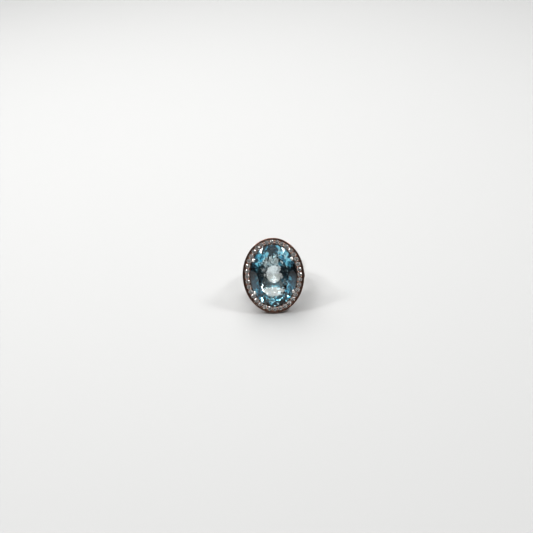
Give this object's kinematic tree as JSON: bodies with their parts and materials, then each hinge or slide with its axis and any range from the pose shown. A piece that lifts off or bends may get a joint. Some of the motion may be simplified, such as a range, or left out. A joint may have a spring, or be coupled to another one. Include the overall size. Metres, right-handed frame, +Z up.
{
  "type": "cocktail ring",
  "caption": "Finger ring lying on its side: large oval blue stone in a halo of small round clear stones, claws, open basket, split shoulders and a tapered shank.",
  "frame": {"origin": "on the surface the ring lies on, under the middle of its bounding box", "axes": "+Z up, -Y the way the stone faces, which leans back by about 22.5 degrees, X across the finger; the finger hole's axis leans the same way, from +Z towards +Y"},
  "size_m": [0.021, 0.0296, 0.0228],
  "materials": {
    "silver": "polished sterling silver with fine wear scratches",
    "silver_head": "polished silver, a little darker in its corners",
    "rose_gold": "polished rose gold",
    "blue_stone": "polished facets, sky-blue topaz",
    "clear_stone": "polished facets, colourless"
  },
  "bodies": {
    "root": {"shank": "silver", "shoulder_lower_left": "silver", "shoulder_upper_left": "silver", "shoulder_lower_right": "silver", "shoulder_upper_right": "silver", "gallery_base": "silver_head", "gallery_post_1": "silver_head", "gallery_post_2": "silver_head", "gallery_post_3": "silver_head", "gallery_post_4": "silver_head", "gallery_post_5": "silver_head", "gallery_post_6": "silver_head", "gallery_post_7": "silver_head", "gallery_post_8": "silver_head", "halo_tray": "rose_gold", "claw_upper_right": "silver_head", "claw_upper_left": "silver_head", "claw_lower_left": "silver_head", "claw_lower_right": "silver_head", "centre_stone": "blue_stone", "halo_stone_01": "clear_stone", "halo_stone_02": "clear_stone", "halo_stone_03": "clear_stone", "halo_stone_04": "clear_stone", "halo_stone_05": "clear_stone", "halo_stone_06": "clear_stone", "halo_stone_07": "clear_stone", "halo_stone_08": "clear_stone", "halo_stone_09": "clear_stone", "halo_stone_10": "clear_stone", "halo_stone_11": "clear_stone", "halo_stone_12": "clear_stone", "halo_stone_13": "clear_stone", "halo_stone_14": "clear_stone", "halo_stone_15": "clear_stone", "halo_stone_16": "clear_stone", "halo_stone_17": "clear_stone", "halo_stone_18": "clear_stone", "halo_stone_19": "clear_stone", "halo_stone_20": "clear_stone", "halo_stone_21": "clear_stone", "halo_stone_22": "clear_stone", "halo_stone_23": "clear_stone", "halo_stone_24": "clear_stone", "halo_stone_25": "clear_stone", "halo_stone_26": "clear_stone", "halo_stone_27": "clear_stone", "halo_stone_28": "clear_stone", "halo_stone_29": "clear_stone", "halo_stone_30": "clear_stone", "halo_stone_31": "clear_stone", "halo_stone_32": "clear_stone", "halo_stone_33": "clear_stone", "halo_stone_34": "clear_stone", "halo_stone_35": "clear_stone", "halo_stone_36": "clear_stone", "halo_grains": "rose_gold"}
  },
  "joints": []
}
